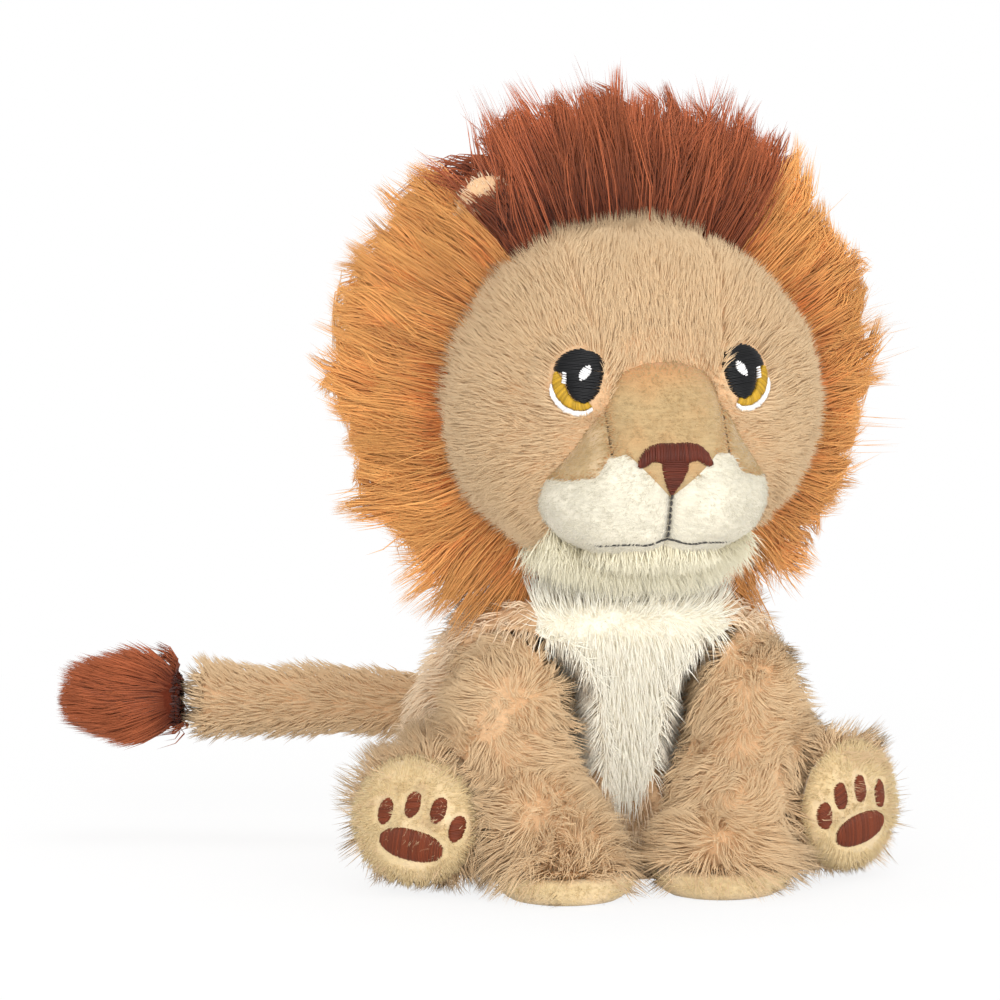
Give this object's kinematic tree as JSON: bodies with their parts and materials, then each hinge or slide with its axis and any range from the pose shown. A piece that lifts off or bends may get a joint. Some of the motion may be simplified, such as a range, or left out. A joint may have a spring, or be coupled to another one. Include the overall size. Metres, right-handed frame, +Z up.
{
  "type": "plush lion",
  "caption": "Seated stuffed lion with a long-pile mane, embroidered face, poseable head, legs and tufted tail on soft sewn joints.",
  "frame": {"origin": "on the floor under the middle front of the seat panel, below the head's centre plane", "axes": "+Z up, -Y the way the lion faces, +X its own left side"},
  "size_m": [0.1791, 0.1574, 0.185],
  "materials": {
    "tan_plush": "short tan plush pile",
    "cream_plush": "long cream plush pile",
    "mane_plush": "long orange plush pile with rust-brown roots",
    "crown_plush": "long dark brown plush pile",
    "muzzle_velboa": "very short beige velboa pile",
    "lobe_plush": "short cream-white pile",
    "sole_velboa": "very short cream velboa pile",
    "pad_velboa": "brown velboa applique",
    "nose_thread": "dark brown satin stitch",
    "mouth_thread": "grey satin stitch",
    "eye_black_thread": "black satin stitch",
    "eye_gold_thread": "gold satin stitch",
    "eye_white_thread": "white satin stitch",
    "polyester_fibre": "white polyester fibre filling",
    "bag_cloth": "thin woven cloth"
  },
  "bodies": {
    "torso": {"torso_skin": "tan_plush", "belly_panel": "tan_plush", "chest_panel": "cream_plush", "seat_panel": "tan_plush", "pellet_bag": "bag_cloth", "torso_stuffing": "polyester_fibre"},
    "neck": {"neck_plug": "tan_plush"},
    "head": {"forehead_panel": "tan_plush", "chin_panel": "cream_plush", "cheek_left": "tan_plush", "cheek_right": "tan_plush", "head_stuffing": "polyester_fibre", "muzzle_bridge": "muzzle_velboa", "muzzle_side_left": "muzzle_velboa", "muzzle_side_right": "muzzle_velboa", "muzzle_lobe_left": "lobe_plush", "muzzle_lobe_right": "lobe_plush", "nose_bar": "nose_thread", "nose_stem": "nose_thread", "mouth_seam": "mouth_thread", "mouth_curve": "mouth_thread", "eye_pupil_left": "eye_black_thread", "eye_iris_left": "eye_gold_thread", "eye_white_left": "eye_white_thread", "eye_glint_left": "eye_white_thread", "eye_pupil_right": "eye_black_thread", "eye_iris_right": "eye_gold_thread", "eye_white_right": "eye_white_thread", "eye_glint_right": "eye_white_thread", "mane_crown": "crown_plush", "mane_left": "mane_plush", "mane_right": "mane_plush", "ear_left": "tan_plush", "ear_right": "tan_plush"},
    "front_leg_left": {"front_leg_left": "tan_plush", "front_leg_left_stuffing": "polyester_fibre", "front_sole_left": "sole_velboa"},
    "front_leg_right": {"front_leg_right": "tan_plush", "front_leg_right_stuffing": "polyester_fibre", "front_sole_right": "sole_velboa"},
    "hind_leg_left": {"hind_leg_left": "tan_plush", "hind_leg_left_stuffing": "polyester_fibre", "hind_sole_left": "sole_velboa", "hind_pad_left": "pad_velboa", "hind_toe_1_left": "pad_velboa", "hind_toe_2_left": "pad_velboa", "hind_toe_3_left": "pad_velboa", "hind_toe_4_left": "pad_velboa"},
    "hind_leg_right": {"hind_leg_right": "tan_plush", "hind_leg_right_stuffing": "polyester_fibre", "hind_sole_right": "sole_velboa", "hind_pad_right": "pad_velboa", "hind_toe_1_right": "pad_velboa", "hind_toe_2_right": "pad_velboa", "hind_toe_3_right": "pad_velboa", "hind_toe_4_right": "pad_velboa"},
    "tail": {"tail_skin": "tan_plush", "tail_stuffing": "polyester_fibre", "tail_tuft": "crown_plush"}
  },
  "joints": [
    {"name": "neck_turn", "type": "hinge", "parent": "torso", "child": "neck", "pos_m": [0, -0.00999, 0.076], "axis": [0, 0, 1], "range_deg": [-30, 30], "stiffness_Nm_per_rad": 0.3},
    {"name": "head_nod", "type": "hinge", "parent": "neck", "child": "head", "pos_m": [0, -0.00999, 0.076], "axis": [-1, 0, 0], "range_deg": [-10, 10], "stiffness_Nm_per_rad": 0.5},
    {"name": "front_leg_left_lift", "type": "hinge", "parent": "torso", "child": "front_leg_left", "pos_m": [0.029, -0.01699, 0.04399], "axis": [-1, 0, 0], "range_deg": [0, 60], "stiffness_Nm_per_rad": 0.05},
    {"name": "hind_leg_left_splay", "type": "hinge", "parent": "torso", "child": "hind_leg_left", "pos_m": [0.034, 0.006, 0.018], "axis": [0, 0, 1], "range_deg": [0, 20], "stiffness_Nm_per_rad": 0.05},
    {"name": "front_leg_right_lift", "type": "hinge", "parent": "torso", "child": "front_leg_right", "pos_m": [-0.029, -0.01699, 0.04399], "axis": [-1, 0, 0], "range_deg": [0, 60], "stiffness_Nm_per_rad": 0.05},
    {"name": "hind_leg_right_splay", "type": "hinge", "parent": "torso", "child": "hind_leg_right", "pos_m": [-0.034, 0.006, 0.018], "axis": [0, 0, -1], "range_deg": [0, 20], "stiffness_Nm_per_rad": 0.05},
    {"name": "tail_swing", "type": "hinge", "parent": "torso", "child": "tail", "pos_m": [0, 0.0507, 0.033], "axis": [0, 0, -1], "range_deg": [-3, 145], "stiffness_Nm_per_rad": 0.01}
  ]
}
